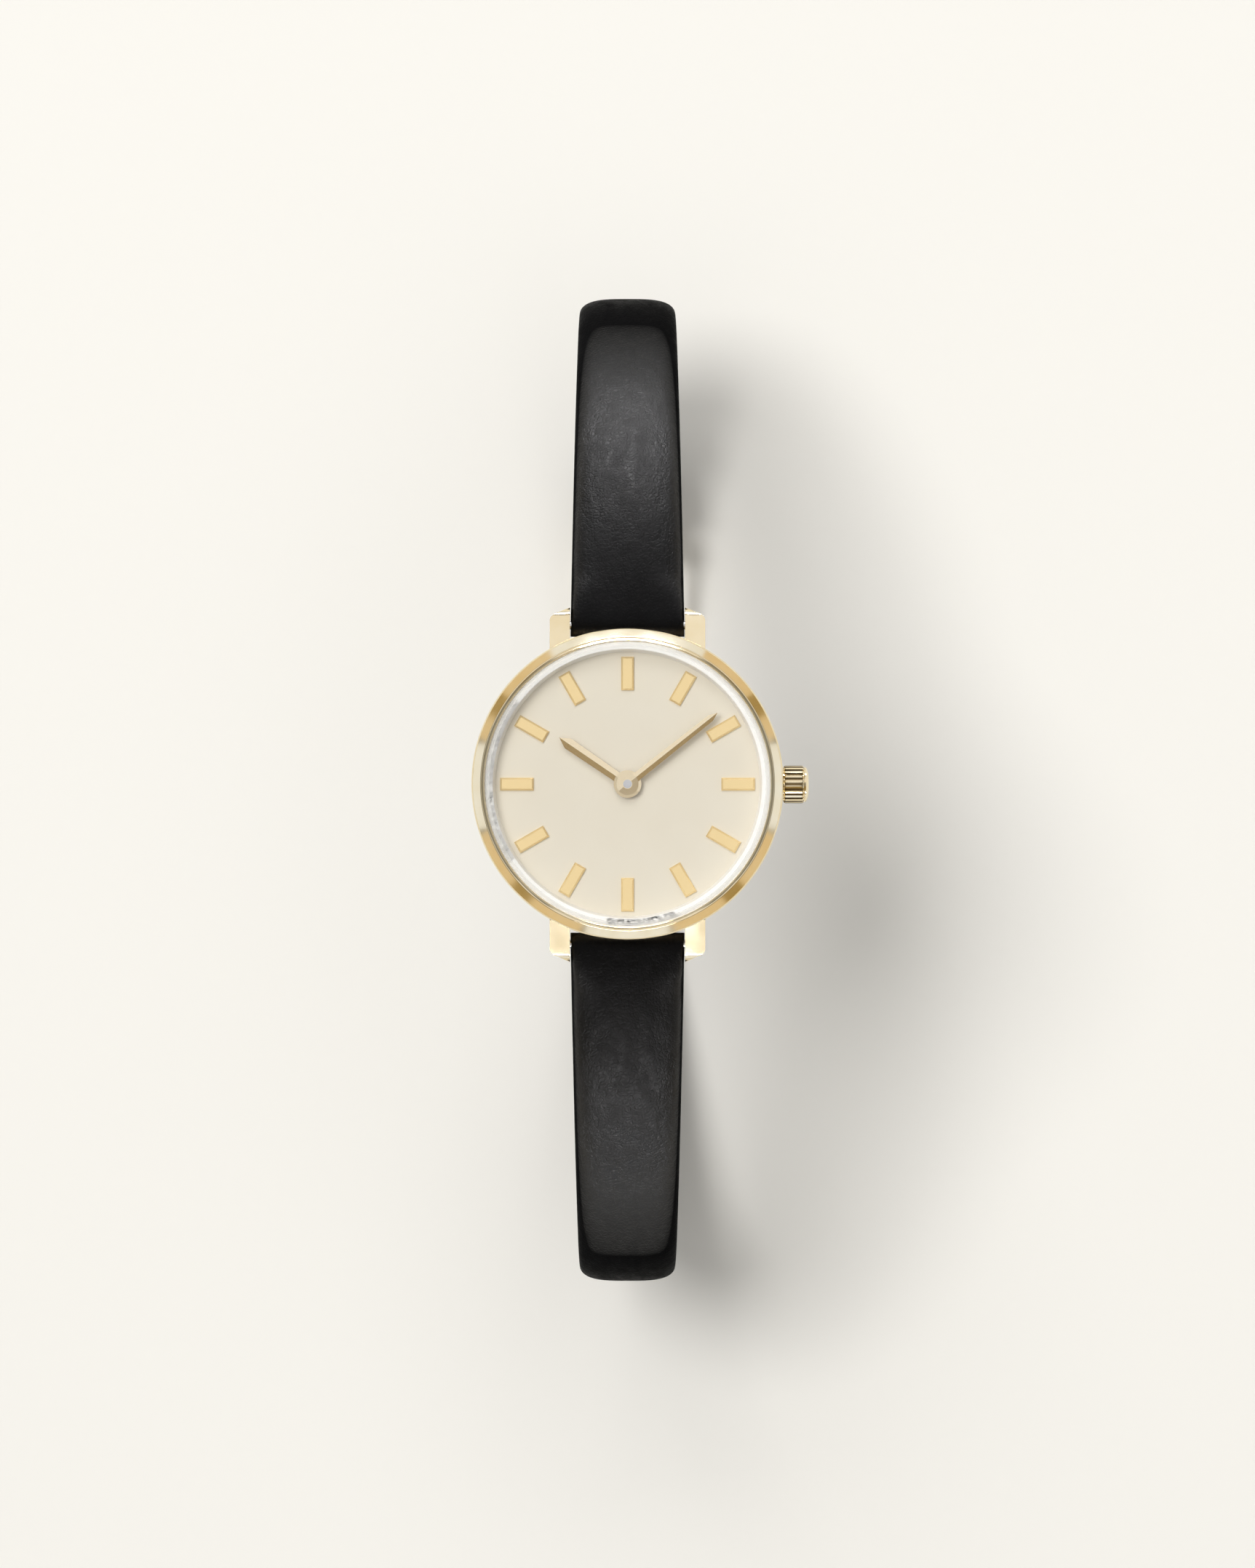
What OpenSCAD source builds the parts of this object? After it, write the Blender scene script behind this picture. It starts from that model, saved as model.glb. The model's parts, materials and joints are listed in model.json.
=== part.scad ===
// Small round quartz wristwatch on a leather strap, with its strap unfastened.
// The two strap halves hang from the case in a loop, and the flat underside of
// the loop stands on z = 0. +Z points up out of the dial, +Y to 12 o'clock and
// +X to 3 o'clock. The origin lies on the dial's axis. Sizes are in millimetres.

/* [Case] */
// Outer diameter of the bezel
case_d = 27; // [27:0.1:28.5]
// Gap between a pair of lugs, which is the strap's width at the case
lug_gap = 10; // [9:0.1:10.2]
// Distance from lug tip to lug tip
lug_span = 30.8; // [30.8:0.1:31.6]
// Diameter of the crown over its ribs
crown_d = 3.26; // [3.1:0.02:3.6]
// Travel of the crown from its home to its setting position
crown_travel = 0.7; // [0.3:0.05:0.75]

/* [Dial and hands] */
// Visible diameter of the dial
dial_view_d = 22.9; // [22:0.1:23]
// Number of hour markers
marker_count = 12; // [4:1:12]
// Length of an hour marker
marker_len = 2.9; // [1.5:0.1:3.2]
// Width of an hour marker
marker_w = 1.1; // [0.6:0.05:1.3]
// Length of the minute hand from the centre
minute_hand_len = 9.95; // [8:0.05:10.6]
// Length of the hour hand from the centre
hour_hand_len = 7.15; // [5:0.05:7.6]
// Hour shown at rest
shown_hour = 10; // [0:1:11]
// Minute shown at rest
shown_minute = 8.6; // [0:0.2:59.8]

/* [Strap] */
// Length of the strap loop, outside, from 12 o'clock to 6 o'clock
loop_len = 87.8; // [84:0.2:92]
// Thickness of the strap
strap_t = 2; // [1.8:0.05:2]
// Width of the strap at the buckle
buckle_w = 7.4; // [7.2:0.1:7.6]
// Length of the buckle half from lug bar to buckle bar
buckle_half_len = 70; // [69:0.5:71]
// Length of the tail half from lug bar to tip
tail_half_len = 102.4; // [98:0.2:103]
// Number of holes in the tail
hole_count = 7; // [3:1:7]
// Distance between the holes in the tail
hole_pitch = 5.5; // [4:0.1:6]
// Travel of the free keeper towards the buckle
keeper_travel = 2.2; // [0.5:0.1:2.2]

/* [Hidden] */
$fn = 96;
eps = 0.02;      // overshoot of a cutting tool past the face it cuts
gold = "#d9be86";
gold_dark = "#b8954f";
steel = "#b9bcc0";
brass = "#c9a64f";
leather = "#1b1b1c";

// Radii of the head, from the bezel inwards
bezel_r = case_d / 2;
flange_r = bezel_r - 0.35;       // flange under the bezel
case_r = bezel_r - 0.85;         // mid-case wall, waisted for the turned ends of the strap
bezel_bore_r = bezel_r - 1.12;   // bore that takes the glass
neck_r = bezel_r - 0.75;         // case neck, inside the bezel
seat_r = bezel_r - 1.25;         // recess in the neck for dial and dial ring
cavity_r = bezel_r - 2.3;        // movement cavity
glass_r = bezel_bore_r - 0.08;
dial_r = seat_r - 0.1;
dial_view_r = dial_view_d / 2;

// Heights in the head, counted from the crown's axis
back_z = -2.9;           // outer face of the case back
body_z0 = -2.1;          // lower edge of the mid-case
plate_z0 = -0.3;         // main plate, movement side
plate_z1 = 1.05;         // main plate, dial side
works_z = 0.45;          // floor of the recess for the motion works
dial_z0 = 1.1;
dial_z1 = 1.5;
body_z1 = 1.15;          // flange of the mid-case under the bezel
waist_z = 0.2;           // top of the mid-case's waist
neck_z = 1.95;
ring_z = 2.55;           // top of the dial ring
glass_z0 = 2.8;
glass_z1 = 3.65;
bezel_z = 3.42;          // bezel's inner rim
band_z = 2.83;           // outer edge of the bezel's sloping band
hour_hand_z = 1.95;
minute_hand_z = 2.3;
bar_z = -1.2;            // lug bars below the crown's axis
lug_tip_r = 1.1;         // rounding of the lug tips
lug_t = 1.75;            // thickness of a lug along X
bar_y = lug_span / 2 - lug_tip_r - 0.45;

// Movement layout
plate_r = 8.8;
post_r = 0.6;
foot_angles = [60, 240];  // dial feet
foot_ring_r = 7.8;
foot_r = 0.3;
board_z0 = -1.75;        // lower face of bridge and board
board_z1 = -1.55;
module_motion = 0.1;     // cannon pinion and minute wheel
module_hour = 0.096;     // minute pinion and hour wheel
module_train = 0.08;     // rotor to centre wheel
cannon_teeth = 12;
minute_teeth = 36;
minute_leaves = 10;
hour_teeth = 40;
centre_teeth = 60;
train_leaves = 6;
intermediate_teeth = 54;
minute_axis = [module_motion * (cannon_teeth + minute_teeth) / 2, 0];
train_dir = 135;         // from the centre towards the intermediate wheel
rotor_dir = 150;         // from the intermediate wheel towards the rotor
intermediate_axis = polar(module_train * (centre_teeth + train_leaves) / 2, train_dir);
rotor_axis = intermediate_axis + polar(module_train * (intermediate_teeth + train_leaves) / 2, rotor_dir);
bridge_centre = [-2.2, 1];
bridge_r = 4.4;
bridge_posts = [[-5.6, -0.6], [-1.5, -2.9], [1, 3]];
board_posts = [[6.9, 4], [5.2, -1.75]];
cell_r = 2.9;
cell_h = 1.65;
cell_centre = [2.8, -4.85];
coil_y = 6.3;
coil_z = -0.95;
coil_r = 0.56;
lever_axis = [6.4, 2.2];

// Hands: clock angles at rest
minute_angle = 6 * shown_minute;
hour_angle = 30 * shown_hour + shown_minute / 2;

// Crown
crown_x0 = bezel_r;
crown_rib_len = 1.8;
crown_cap_len = 0.42;
crown_ribs = 20;

// Strap path, seen from +X: headings below the horizontal at each change of curve
head_0 = -12;
head_1 = -55;
head_2 = -160;
head_3 = -180;
side_r = 14;             // round the widest part of the loop
sole_r = 20;             // into the flat underside
straight_len = 18;       // stretch that the keepers sit on
top_r = (loop_len / 2 - strap_t / 2 - bar_y - side_r * (1 + sin(head_1))) / (sin(head_0) - sin(head_1));
path = [
    [top_r * rad(head_0 - head_1), top_r],
    [side_r * rad(head_1 - head_2), side_r],
    [straight_len, 0],
    [sole_r * rad(head_2 - head_3), sole_r],
    [100, 0]
];
drop = top_r * (cos(head_0) - cos(head_1)) + side_r * (cos(head_1) - cos(head_2))
    - straight_len * sin(head_2) + sole_r * (cos(head_2) - cos(head_3));
head_z = strap_t / 2 + drop - bar_z;    // height of the crown's axis above the floor
lug_bar = [bar_y, head_z + bar_z];
root_w = lug_gap - 0.1;
taper = 0.0355;          // loss of width per millimetre of strap
lining_t = 0.5;
tip_len = 4;
root_r = strap_t / 2;
bar_r = 0.65;
hole_r = 0.7;
first_hole = 25;         // from the tip of the tail
buckle_head = -172;      // heading of the buckle at rest
keeper_len = 3;
fixed_keeper_s = buckle_half_len - 4.5;
free_keeper_s = fixed_keeper_s - keeper_len - keeper_travel - 0.3;
keeper_wall = 0.6;
keeper_room = 2.8;       // inner height of a keeper above the strap's middle
frame_len = 9.7;         // buckle bar to the middle of the frame's front rod
frame_rod_r = 0.8;
frame_in_w = buckle_w + 0.4;
eye_w = 1;
eye_r = 1;
hinge_r = 0.62;          // holes that turn on the buckle bar

function rad(a) = a * PI / 180;
function polar(r, a) = [r * cos(a), r * sin(a)];

// One step of length d along a curve of radius r (0 is straight) from [y, z, heading]
function step(from, d, r) =
    r == 0 ? [from[0] + d * cos(from[2]), from[1] + d * sin(from[2]), from[2]]
    : let (h = from[2] - d / r * 180 / PI)
      [from[0] + r * (sin(from[2]) - sin(h)), from[1] + r * (cos(h) - cos(from[2])), h];

// Position and heading at distance s along the strap's middle from the lug bar
function along(s, i = 0, from = [lug_bar[0], lug_bar[1], head_0]) =
    s <= path[i][0] ? step(from, s, path[i][1])
    : along(s - path[i][0], i + 1, step(from, path[i][0], path[i][1]));

function strap_w(s) = max(buckle_w, root_w - taper * s);

// Share of its width that the tail keeps near its rounded tip
function tip_share(s, len) =
    s < len - tip_len ? 1 : sqrt(max(0.01, 1 - pow((s - len + tip_len) / tip_len, 2)));

// Strap section above the lining: x as a share of the half width, z in millimetres
function leather_section() = concat(
    [[1, lining_t - strap_t / 2], [1, 0]],
    [for (a = [18:18:90]) [0.45 + 0.55 * cos(a), strap_t / 2 * sin(a)]],
    [for (a = [90:18:162]) [-0.45 + 0.55 * cos(a), strap_t / 2 * sin(a)]],
    [[-1, 0], [-1, lining_t - strap_t / 2]]
);
function lining_section() =
    let (z0 = -strap_t / 2, z1 = z0 + lining_t) [[1, z0], [1, z1], [-1, z1], [-1, z0]];

// Sweeps a section along the strap through the given distances
module strap_sweep(section, stops, len, tail) {
    n = len(section);
    points = [for (s = stops) let (p = along(s), w = strap_w(s) / 2 * (tail ? tip_share(s, len) : 1))
        for (q = section) [q[0] * w, p[0] - q[1] * sin(p[2]), p[1] + q[1] * cos(p[2])]];
    sides = [for (i = [0:len(stops) - 2]) for (j = [0:n - 1])
        let (a = i * n + j, b = i * n + (j + 1) % n) [a, b, b + n, a + n]];
    ends = [[for (j = [n - 1:-1:0]) j], [for (j = [0:n - 1]) (len(stops) - 1) * n + j]];
    polyhedron(points, concat(sides, ends), convexity = 6);
}

function stops(from, to, count) = [for (i = [0:count]) from + (to - from) * i / count];

// Leather and lining of a half share their stops, so that their faceted faces meet
lining_s0 = 1.4;
lining_12_stops = stops(lining_s0, buckle_half_len - 2.4, 24);
lining_6_stops = concat(stops(lining_s0, tail_half_len - tip_len, 33),
    [for (a = [25:25:75]) tail_half_len - tip_len * (1 - sin(a))], [tail_half_len]);

// Moves a piece to distance s along the strap: +Y along the strap, +Z outwards
module on_strap(s, heading = undef) {
    p = along(s);
    translate([0, p[0], p[1]])
        rotate([heading == undef ? p[2] : heading, 0, 0])
            children();
}

module head() {
    translate([0, 0, head_z])
        children();
}

// Cylinder along X from x0 to x1
module x_rod(r, x0, x1) {
    translate([x0, 0, 0])
        rotate([0, 90, 0])
            cylinder(r = r, h = x1 - x0);
}

module z_rod(r, z0, z1, at = [0, 0]) {
    translate([at[0], at[1], z0])
        cylinder(r = r, h = z1 - z0);
}

module ring(r_in, r_out, z0, z1) {
    translate([0, 0, z0])
        difference() {
            cylinder(r = r_out, h = z1 - z0);
            translate([0, 0, -eps])
                cylinder(r = r_in, h = z1 - z0 + 2 * eps);
        }
}

// Toothed disc with straight-sided teeth, and a tooth at the given direction
module gear(teeth, size, z0, z1, direction, bore_r) {
    root = teeth * size / 2 - 0.95 * size;
    tip = teeth * size / 2 + 0.8 * size;
    pitch = 360 / teeth;
    translate([0, 0, z0])
        rotate([0, 0, direction])
            linear_extrude(z1 - z0)
                difference() {
                    polygon([for (i = [0:teeth - 1])
                        for (p = [[root, -0.3], [tip, -0.12], [tip, 0.12], [root, 0.3]])
                            polar(p[0], (i + p[1]) * pitch)]);
                    circle(r = bore_r);
                }
}

// ---- Case ----

module lug() {
    root_y = 9.5;            // inside the mid-case wall
    tip_y = lug_span / 2;
    tip_mid_y = tip_y - lug_tip_r;
    outer_x = lug_gap / 2 + lug_t;
    intersection() {
        translate([lug_gap / 2, 0, 0])
            rotate([90, 0, 90])
                linear_extrude(lug_t) {
                    polygon([[root_y, body_z0], [root_y, 1.1], [11.8, 1.1], [tip_mid_y + 0.38, -0.17],
                        [tip_mid_y, bar_z], [tip_mid_y, bar_z - lug_tip_r], [tip_mid_y - 1.2, body_z0]]);
                    translate([tip_mid_y, bar_z])
                        circle(r = lug_tip_r);
                }
        translate([0, 0, back_z])
            linear_extrude(neck_z - back_z)
                difference() {
                    polygon([[lug_gap / 2 - eps, root_y - 0.5], [outer_x + eps, root_y - 0.5],
                        [outer_x + eps, tip_y - 1.1], [outer_x - 0.1, tip_y - 0.82],
                        [outer_x - 0.38, tip_y - 0.6], [lug_gap / 2 - eps, tip_y + eps]]);
                    circle(r = cavity_r + 0.4);
                }
    }
}

module case_body() {
    color(gold) head() difference() {
        union() {
            rotate_extrude()
                polygon([[cavity_r, body_z0], [case_r - 0.35, body_z0], [case_r, body_z0 + 0.35],
                    [case_r, waist_z], [flange_r, waist_z + 0.4], [flange_r, body_z1],
                    [neck_r - 0.05, body_z1], [neck_r - 0.05, neck_z],
                    [seat_r, neck_z], [seat_r, dial_z0], [cavity_r, dial_z0]]);
            for (mx = [0, 1])
                for (my = [0, 1])
                    mirror([mx, 0, 0])
                        mirror([0, my, 0])
                            lug();
        }
        x_rod(0.9, cavity_r - 1, bezel_r + 1);
        z_rod(cavity_r + 0.3, body_z0 - eps, body_z0 + 0.4);
        for (y = [-bar_y, bar_y])
            translate([0, y, bar_z])
                x_rod(0.4, -lug_gap / 2 - 1, lug_gap / 2 + 1);
    }
}

module bezel() {
    color(gold) head() rotate_extrude()
        polygon([[neck_r, body_z1], [bezel_r - 0.08, body_z1], [bezel_r, body_z1 + 0.08],
            [bezel_r, band_z - 0.23], [bezel_r - 0.03, band_z - 0.12], [bezel_r - 0.1, band_z],
            [bezel_r - 0.78, bezel_z - 0.03], [bezel_r - 0.83, bezel_z], [bezel_r - 0.89, bezel_z - 0.02],
            [bezel_bore_r, bezel_z - 0.24], [bezel_bore_r, neck_z], [neck_r, neck_z]]);
}

module crystal() {
    color("#dfe8ea", 0.3) head() rotate_extrude()
        polygon([[0, glass_z0], [glass_r, glass_z0], [glass_r, glass_z1 - 0.3],
            [glass_r - 0.28, glass_z1 - 0.03], [glass_r - 0.4, glass_z1], [0, glass_z1]]);
}

module crystal_gasket() {
    color("#f1f0ea") head() ring(dial_view_r + 0.25, bezel_bore_r, ring_z, glass_z0);
}

module dial_ring() {
    color(steel) head() rotate_extrude()
        polygon([[dial_view_r, dial_z1], [dial_r, dial_z1], [dial_r, ring_z], [dial_view_r + 0.2, ring_z]]);
}

module dial() {
    color("#efe3c8") head() difference() {
        union() {
            z_rod(dial_r, dial_z0, dial_z1);
            for (a = foot_angles)
                z_rod(foot_r, plate_z0 + 0.5, dial_z1, polar(foot_ring_r, a));
        }
        z_rod(0.75, dial_z0 - eps, dial_z1 + eps);
    }
}

// Bar with bevelled long and short edges, standing on z = 0 along Y
module baton() {
    height = 0.3;
    bevel = 0.15;
    intersection() {
        translate([0, marker_len / 2, 0])
            rotate([90, 0, 0])
                linear_extrude(marker_len)
                    polygon([[-marker_w / 2, 0], [marker_w / 2, 0], [marker_w / 2, height - bevel],
                        [marker_w / 2 - bevel, height], [bevel - marker_w / 2, height],
                        [-marker_w / 2, height - bevel]]);
        translate([-marker_w / 2, 0, 0])
            rotate([90, 0, 90])
                linear_extrude(marker_w)
                    polygon([[-marker_len / 2, 0], [marker_len / 2, 0], [marker_len / 2, height - bevel],
                        [marker_len / 2 - bevel, height], [bevel - marker_len / 2, height],
                        [-marker_len / 2, height - bevel]]);
    }
}

module hour_markers() {
    outer_r = dial_view_r - 0.42;
    color(gold) head() for (i = [0:marker_count - 1])
        rotate([0, 0, 360 * i / marker_count])
            translate([0, outer_r - marker_len / 2, dial_z1])
                baton();
}

module case_back() {
    color(steel) head() rotate_extrude()
        polygon([[0, back_z], [case_r - 1.2, back_z], [case_r - 0.5, back_z + 0.35], [case_r - 0.5, body_z0],
            [cavity_r - 0.05, body_z0], [cavity_r - 0.05, body_z0 + 0.5], [cavity_r - 0.5, body_z0 + 0.5],
            [cavity_r - 0.5, body_z0], [0, body_z0]]);
}

module case_back_gasket() {
    color("#2b2b2d") head() translate([0, 0, body_z0 + 0.2])
        rotate_extrude()
            translate([cavity_r + 0.14, 0])
                circle(r = 0.14);
}

module crown_tube() {
    color(steel) head() difference() {
        x_rod(0.9, cavity_r + 0.05, bezel_r + 0.75);
        x_rod(0.55, cavity_r - 1, bezel_r + 1);
    }
}

// ---- Movement ----

module movement_ring() {
    color("#e9e6dc") head() difference() {
        ring(plate_r + 0.05, cavity_r - 0.06, body_z0 + 0.6, plate_z1);
        x_rod(0.95, 0, cavity_r);
    }
}

module main_plate() {
    clutch_room = 0.85;
    color(brass) head() difference() {
        union() {
            z_rod(plate_r, plate_z0, plate_z1);
            for (p = concat(bridge_posts, board_posts))
                z_rod(post_r, board_z1, plate_z0 + eps, p);
            z_rod(0.25, plate_z0 - 0.5, plate_z0 + eps, lever_axis);
        }
        difference() {
            union() {
                z_rod(2.2, works_z, plate_z1 + eps);
                z_rod(2.05, works_z, plate_z1 + eps, minute_axis);
            }
            z_rod(0.2, works_z - eps, plate_z1 - 0.05, minute_axis);
        }
        translate([4.45, -clutch_room, plate_z0 - eps])
            cube([plate_r, 2 * clutch_room, 0.8 - plate_z0 + eps]);
        z_rod(0.32, plate_z0 - eps, plate_z1);
        for (p = [intermediate_axis, rotor_axis])
            z_rod(0.16, plate_z0 - eps, plate_z0 + 0.25, p);
        for (p = concat(bridge_posts, board_posts))
            z_rod(0.28, board_z1 - eps, board_z1 + 0.8, p);
        for (a = foot_angles)
            z_rod(foot_r + 0.03, plate_z0 + 0.4, plate_z1 + eps, polar(foot_ring_r, a));
    }
}

module train_bridge() {
    color(steel) head() difference() {
        z_rod(bridge_r, board_z0, board_z1, bridge_centre);
        z_rod(0.19, board_z0 - eps, board_z1 + eps);
        for (p = [intermediate_axis, rotor_axis])
            z_rod(0.16, board_z0 - eps, board_z1 + eps, p);
        for (p = bridge_posts)
            z_rod(0.28, board_z0 - eps, board_z1 + eps, p);
    }
}

module circuit_board() {
    color("#2f6b3c") head() translate([0, 0, board_z0])
        linear_extrude(board_z1 - board_z0)
            difference() {
                circle(r = plate_r - 0.3);
                translate(bridge_centre)
                    circle(r = bridge_r + 0.2);
                translate(cell_centre)
                    circle(r = cell_r + 0.25);
                translate([-10, -10])
                    square([12.6, 20]);
                translate([-10, coil_y - coil_r - 0.25])
                    square([20, 10]);
                for (p = board_posts)
                    translate(p)
                        circle(r = 0.28);
            }
}

module control_chip() {
    color("#202226") head() translate([3.2, 1.1, board_z1])
        cube([1.7, 1.7, 0.5]);
}

module oscillator_can() {
    color(steel) head() translate([0, 3.5, board_z1 + 0.5])
        x_rod(0.5, 2.9, 6.1);
}

module coil_core() {
    color(steel) head() translate([-5.4, coil_y - 0.4, coil_z - 0.1])
        cube([10.6, 0.8, 0.2]);
}

module coil_winding() {
    color("#b5623a") head() translate([0, coil_y, coil_z])
        difference() {
            x_rod(coil_r, -4, 3.6);
            translate([-5, -0.4, -0.1])
                cube([10, 0.8, 0.2]);
        }
}

module stator() {
    leg_w = 1;
    color(steel) head() translate([0, 0, coil_z + 0.1])
        linear_extrude(0.3)
            difference() {
                union() {
                    polygon([[-5.4, coil_y + 0.4], [-4.3, coil_y + 0.4], rotor_axis + [0.9, 0.9],
                        rotor_axis + [-0.9, 0.2]]);
                    polygon([rotor_axis + [0, 1.25], [4, coil_y - 1.2], [4.3, coil_y + 0.4],
                        [5.2, coil_y + 0.4], [5.2, coil_y - 1.6], rotor_axis + [1.1, -0.1]]);
                    translate(rotor_axis)
                        circle(r = 1.25);
                }
                translate(rotor_axis)
                    circle(r = 0.75);
            }
}

module battery() {
    color("#c9ccd0") head() translate([cell_centre[0], cell_centre[1], plate_z0 - 0.05 - cell_h])
        rotate_extrude()
            polygon([[0, 0], [cell_r - 0.15, 0], [cell_r, 0.15], [cell_r, cell_h - 0.3],
                [cell_r - 0.4, cell_h - 0.2], [cell_r - 0.4, cell_h], [0, cell_h]]);
}

// Spring strip folded once: an arm across the cell and a foot that rises to the board
module battery_clip() {
    sheet = 0.08;
    strip_w = 1;
    foot_len = 0.8;
    arm_z = plate_z0 - 0.05 - cell_h;
    foot = [5.9, -2.75];
    reach = foot - cell_centre;
    arm_end = norm(reach) + 0.5;
    color(gold_dark) head() translate([cell_centre[0], cell_centre[1], 0])
        rotate([0, 0, atan2(reach[1], reach[0])])
            translate([0, strip_w / 2, 0])
                rotate([90, 0, 0])
                    linear_extrude(strip_w)
                        polygon([[-0.6, arm_z - sheet], [arm_end, arm_z - sheet], [arm_end, board_z0],
                            [arm_end - foot_len, board_z0], [arm_end - foot_len, arm_z], [-0.6, arm_z]]);
}

module battery_insulator() {
    color("#d8c27a") head() z_rod(cell_r - 0.5, plate_z0 - 0.05, plate_z0, cell_centre);
}

module movement_screws() {
    color(steel) head() for (p = concat(bridge_posts, board_posts))
        difference() {
            union() {
                z_rod(0.5, board_z0 - 0.2, board_z0, p);
                z_rod(0.25, board_z0 - eps, board_z1 + 0.65, p);
            }
            translate([p[0] - 0.6, p[1] - 0.07, board_z0 - 0.2 - eps])
                cube([1.2, 0.14, 0.1]);
        }
}

// ---- Hands and wheels ----

// Hand with a ridge along its length and across its hub, pointing along +Y
module roof_hand(len, w_root, w_tip, tip_len, hub_r, bore_r) {
    ridge = 0.22;
    edge = 0.07;
    difference() {
        union() {
            intersection() {
                linear_extrude(1)
                    polygon([[-w_root / 2, 0], [w_root / 2, 0], [w_tip / 2, len - tip_len], [0, len],
                        [-w_tip / 2, len - tip_len]]);
                rotate([90, 0, 180])
                    linear_extrude(len)
                        polygon([[-0.6, 0], [0.6, 0], [0.6, edge - 0.05], [0, ridge], [-0.6, edge - 0.05]]);
            }
            intersection() {
                cylinder(r = hub_r, h = 1);
                rotate([90, 0, 0])
                    translate([0, 0, -hub_r])
                        linear_extrude(2 * hub_r)
                            polygon([[-hub_r, 0], [hub_r, 0], [hub_r, edge], [0, ridge], [-hub_r, edge]]);
            }
        }
        translate([0, 0, -eps])
            cylinder(r = bore_r, h = 1);
    }
}

module hour_hand() {
    color(gold) head() translate([0, 0, hour_hand_z])
        rotate([0, 0, -hour_angle])
            roof_hand(hour_hand_len, 0.85, 1, 0.9, 1.2, 0.62);
}

module minute_hand() {
    color(gold) head() translate([0, 0, minute_hand_z])
        rotate([0, 0, -minute_angle])
            difference() {
                roof_hand(minute_hand_len, 0.78, 0.62, 0.75, 0.96, 0.38);
                translate([0, 0, 0.13])
                    cylinder(r = 0.42, h = 1);
            }
}

module cannon_pinion() {
    color(steel) head() {
        gear(cannon_teeth, module_motion, 0.5, 0.7, 0, 0.2);
        z_rod(0.16, board_z0 + 0.03, board_z1 + 0.05);
        z_rod(0.25, board_z1 + 0.04, 0.51);
        z_rod(0.38, 0.6, minute_hand_z + 0.13);
        z_rod(0.31, minute_hand_z, 2.62);
    }
}

module centre_wheel() {
    color(brass) head() gear(centre_teeth, module_train, -0.75, -0.6, train_dir, 0.25);
}

module hour_wheel() {
    color(brass) head() difference() {
        union() {
            gear(hour_teeth, module_hour, 0.8, 0.98, 0, 0.5);
            z_rod(0.62, 0.8, hour_hand_z + 0.2);
        }
        z_rod(0.45, 0.8 - eps, hour_hand_z + 0.2 + eps);
    }
}

module minute_wheel() {
    color(brass) head() translate([minute_axis[0], minute_axis[1], 0]) {
        gear(minute_teeth, module_motion, 0.5, 0.68, 180 - 180 / minute_teeth, 0.25);
        gear(minute_leaves, module_hour, 0.67, 0.98, 180 - 180 / minute_leaves, 0.25);
    }
}

module intermediate_wheel() {
    color(brass) head() translate([intermediate_axis[0], intermediate_axis[1], 0]) {
        gear(train_leaves, module_train, -0.8, -0.55, train_dir + 180 - 180 / train_leaves, 0.1);
        gear(intermediate_teeth, module_train, -1.15, -1, rotor_dir, 0.1);
        z_rod(0.12, board_z0 + 0.05, plate_z0 + 0.2);
    }
}

module rotor() {
    color("#6d7074") head() translate([rotor_axis[0], rotor_axis[1], 0]) {
        gear(train_leaves, module_train, -1.2, -0.95, rotor_dir + 180 - 180 / train_leaves, 0.1);
        z_rod(0.55, -0.9, -0.5);
        z_rod(0.12, board_z0 + 0.05, plate_z0 + 0.2);
    }
}

// ---- Crown and setting parts ----

module setting_lever() {
    color(steel) head() difference() {
        union() {
            z_rod(0.55, plate_z0 - 0.45, plate_z0 - 0.25, lever_axis);
            z_rod(0.3, plate_z0 - 0.45, plate_z0 - 0.25, [lever_axis[0], 0]);
            translate([lever_axis[0] - 0.3, 0, plate_z0 - 0.45])
                cube([0.6, lever_axis[1], 0.2]);
            z_rod(0.15, plate_z0 - 0.3, -0.25, [lever_axis[0], 0]);
        }
        z_rod(0.3, plate_z0 - 0.6, plate_z0, lever_axis);
    }
}

module crown() {
    r = crown_d / 2;
    rib_depth = 0.12;
    flat = crown_x0 + crown_rib_len;
    color(gold) head() difference() {
        rotate([0, 90, 0])
            rotate_extrude()
                polygon([[0, crown_x0], [r - 0.15, crown_x0], [r, crown_x0 + 0.12], [r, flat],
                    [r - 0.12, flat + 0.02], [r - 0.12, flat + 0.08], [r - 0.2, flat + 0.22],
                    [r - 0.45, flat + crown_cap_len - 0.06], [r - 0.85, flat + crown_cap_len],
                    [0, flat + crown_cap_len]]);
        x_rod(1.2, crown_x0 - eps, crown_x0 + 1.1);
        x_rod(0.45, crown_x0, crown_x0 + 1.6);
        for (i = [0:crown_ribs - 1])
            rotate([360 * i / crown_ribs, 0, 0])
                translate([0, 0, r + 0.05])
                    x_rod(rib_depth + 0.05, crown_x0 - eps, flat);
    }
}

module crown_gasket() {
    color("#2b2b2d") head() translate([crown_x0 + 0.45, 0, 0])
        rotate([0, 90, 0])
            rotate_extrude()
                translate([1.05, 0])
                    circle(r = 0.13);
}

module stem() {
    groove = [lever_axis[0] - 0.27, lever_axis[0] + 0.27];
    color(steel) head() {
        x_rod(0.3, 4.5, 5.75);
        x_rod(0.45, 5.7, groove[0]);
        x_rod(0.18, groove[0] - eps, groove[1] + eps);
        x_rod(0.45, groove[1], crown_x0 + 1.6);
    }
}

module clutch_pinion() {
    color(steel) head() translate([4.6, 0, 0])
        rotate([0, 90, 0])
            gear(14, 0.09, 0, 1, 0, 0.3);
}

// ---- Lug bars ----

module lug_bar_barrels() {
    color(steel) head() for (y = [-bar_y, bar_y])
        translate([0, y, bar_z])
            difference() {
                x_rod(bar_r, 0.25 - lug_gap / 2, lug_gap / 2 - 0.25);
                x_rod(0.42, -lug_gap, lug_gap);
            }
}

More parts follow.
